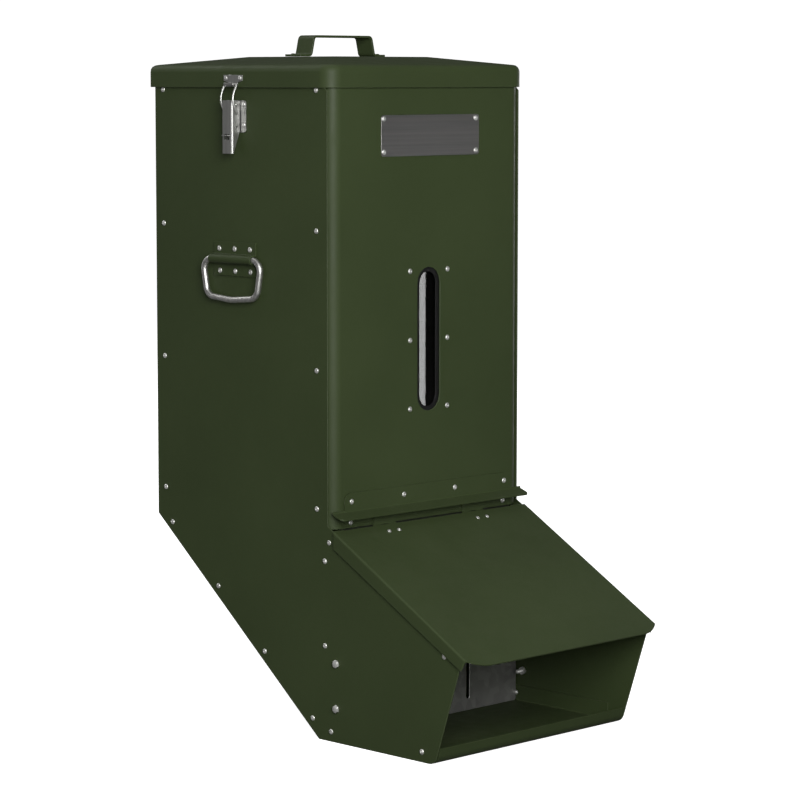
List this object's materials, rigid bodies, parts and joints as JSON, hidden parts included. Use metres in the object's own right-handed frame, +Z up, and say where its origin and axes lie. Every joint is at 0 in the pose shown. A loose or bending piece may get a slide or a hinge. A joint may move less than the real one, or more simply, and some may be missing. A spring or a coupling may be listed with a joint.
{
  "type": "gravity feeder",
  "caption": "Tall sheet-steel hopper with a lift-off latched lid, sight window, sliding feed gate, sloping floor and an open tray under a hinged rain hood; fastens to a wall by its back.",
  "frame": {"origin": "middle of the four wall holes on the outer face of the flat back panel", "axes": "+Z up, +Y out of the back towards the wall, +X to the right seen from the front; the tray and hood face -Y"},
  "size_m": [0.342, 0.5119, 0.7758],
  "materials": {
    "olive_paint": "matte olive powder coat",
    "galvanised_sheet": "dull galvanised sheet",
    "zinc_plate": "zinc-plated steel, satin",
    "brushed_plate": "fine brushed",
    "black_plate": "black, matte",
    "clear_pane": "clear, glossy"
  },
  "bodies": {
    "hopper": {"left_side_panel": "olive_paint", "right_side_panel": "olive_paint", "front_panel": "olive_paint", "back_panel": "olive_paint", "slope_panel": "olive_paint", "feed_tray": "olive_paint", "rain_lip": "olive_paint", "left_hood_rail": "olive_paint", "right_hood_rail": "olive_paint", "left_hinge_fixed_leaf": "olive_paint", "right_hinge_fixed_leaf": "olive_paint", "left_handle_bracket": "olive_paint", "right_handle_bracket": "olive_paint", "window_pane": "clear_pane", "window_retainer": "black_plate", "front_plate": "brushed_plate", "left_gate_guide": "galvanised_sheet", "right_gate_guide": "galvanised_sheet", "left_latch_base": "zinc_plate", "right_latch_base": "zinc_plate", "left_latch_pin": "zinc_plate", "right_latch_pin": "zinc_plate", "left_hinge_pin": "zinc_plate", "right_hinge_pin": "zinc_plate", "left_lower_bolt": "zinc_plate", "left_upper_bolt": "zinc_plate", "right_lower_bolt": "zinc_plate", "right_upper_bolt": "zinc_plate", "left_lower_nut": "zinc_plate", "left_upper_nut": "zinc_plate", "right_lower_nut": "zinc_plate", "right_upper_nut": "zinc_plate"},
    "lid": {"lid_shell": "olive_paint", "lid_handle": "olive_paint", "left_latch_keeper": "zinc_plate", "right_latch_keeper": "zinc_plate"},
    "hood": {"hood": "olive_paint", "left_hinge_hood_leaf": "olive_paint", "right_hinge_hood_leaf": "olive_paint"},
    "gate": {"feed_gate": "galvanised_sheet"},
    "left_lever": {"left_latch_lever": "zinc_plate"},
    "left_bail": {"left_latch_bail": "zinc_plate"},
    "right_lever": {"right_latch_lever": "zinc_plate"},
    "right_bail": {"right_latch_bail": "zinc_plate"},
    "left_ring": {"left_ring_handle": "zinc_plate"},
    "right_ring": {"right_ring_handle": "zinc_plate"}
  },
  "joints": [
    {"name": "lid_lift", "type": "slide", "parent": "hopper", "child": "lid", "axis": [0, 0, 1], "range_m": [0, 0.16]},
    {"name": "hood_swing", "type": "hinge", "parent": "hopper", "child": "hood", "pos_m": [0, -0.2942, -0.25306], "axis": [-1, 0, 0], "range_deg": [0, 55]},
    {"name": "gate_lift", "type": "slide", "parent": "hopper", "child": "gate", "axis": [0, 0, 1], "range_m": [0, 0.075]},
    {"name": "left_latch_swing", "type": "hinge", "parent": "hopper", "child": "left_lever", "pos_m": [-0.16, -0.1405, 0.213], "axis": [0, 1, 0], "range_deg": [0, 90]},
    {"name": "left_bail_swing", "type": "hinge", "parent": "left_lever", "child": "left_bail", "pos_m": [-0.16, -0.1405, 0.203], "axis": [0, 1, 0], "range_deg": [-72, 0]},
    {"name": "left_ring_swing", "type": "hinge", "parent": "hopper", "child": "left_ring", "pos_m": [-0.1585, -0.1385, 0.041], "axis": [0, 1, 0], "range_deg": [0, 180]},
    {"name": "right_latch_swing", "type": "hinge", "parent": "hopper", "child": "right_lever", "pos_m": [0.16, -0.1405, 0.213], "axis": [0, -1, 0], "range_deg": [0, 90]},
    {"name": "right_bail_swing", "type": "hinge", "parent": "right_lever", "child": "right_bail", "pos_m": [0.16, -0.1405, 0.203], "axis": [0, -1, 0], "range_deg": [-72, 0]},
    {"name": "right_ring_swing", "type": "hinge", "parent": "hopper", "child": "right_ring", "pos_m": [0.1585, -0.1385, 0.041], "axis": [0, -1, 0], "range_deg": [0, 180]}
  ],
  "couplings": [
    {"joint": "left_bail_swing", "follows": "left_latch_swing", "ratio": -0.8},
    {"joint": "right_bail_swing", "follows": "right_latch_swing", "ratio": -0.8}
  ]
}
